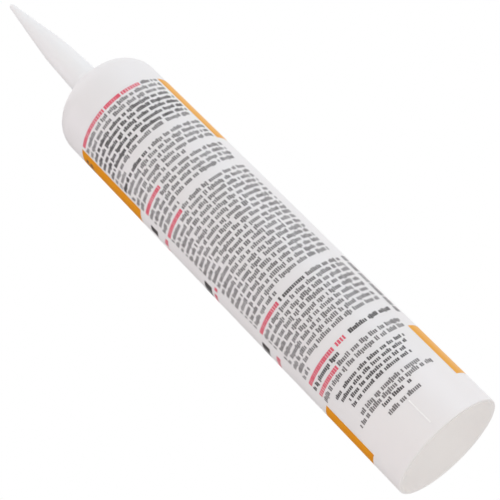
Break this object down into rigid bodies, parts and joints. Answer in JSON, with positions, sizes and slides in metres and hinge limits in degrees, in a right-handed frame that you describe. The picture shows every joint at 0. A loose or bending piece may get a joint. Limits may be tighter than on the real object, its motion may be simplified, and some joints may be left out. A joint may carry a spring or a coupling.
{
  "type": "caulk tube",
  "caption": "Plastic sealant cartridge with a domed shoulder, a closed tapered nozzle and a sliding follower piston in its open rear end.",
  "frame": {"origin": "centre of the open rear rim, on the plane that the tube stands on", "axes": "+Z along the tube's axis, from the rear rim to the nozzle tip; the text panel faces -Y"},
  "size_m": [0.05, 0.05, 0.2928],
  "materials": {
    "cartridge_plastic": "satin moulded polyethylene",
    "seal_foil": "rolled foil",
    "piston_plastic": "moulded polyethylene",
    "sealant_paste": "smooth white paste",
    "print_orange": "screen-printed ink",
    "print_red": "screen-printed ink",
    "print_black": "screen-printed ink"
  },
  "bodies": {
    "cartridge": {"cartridge": "cartridge_plastic", "inner_seal": "seal_foil", "sealant": "sealant_paste"},
    "piston": {"piston": "piston_plastic"}
  },
  "joints": [
    {"name": "piston_push", "type": "slide", "parent": "cartridge", "child": "piston", "axis": [0, 0, 1], "range_m": [0, 0.17], "deforming": ["sealant"]}
  ]
}
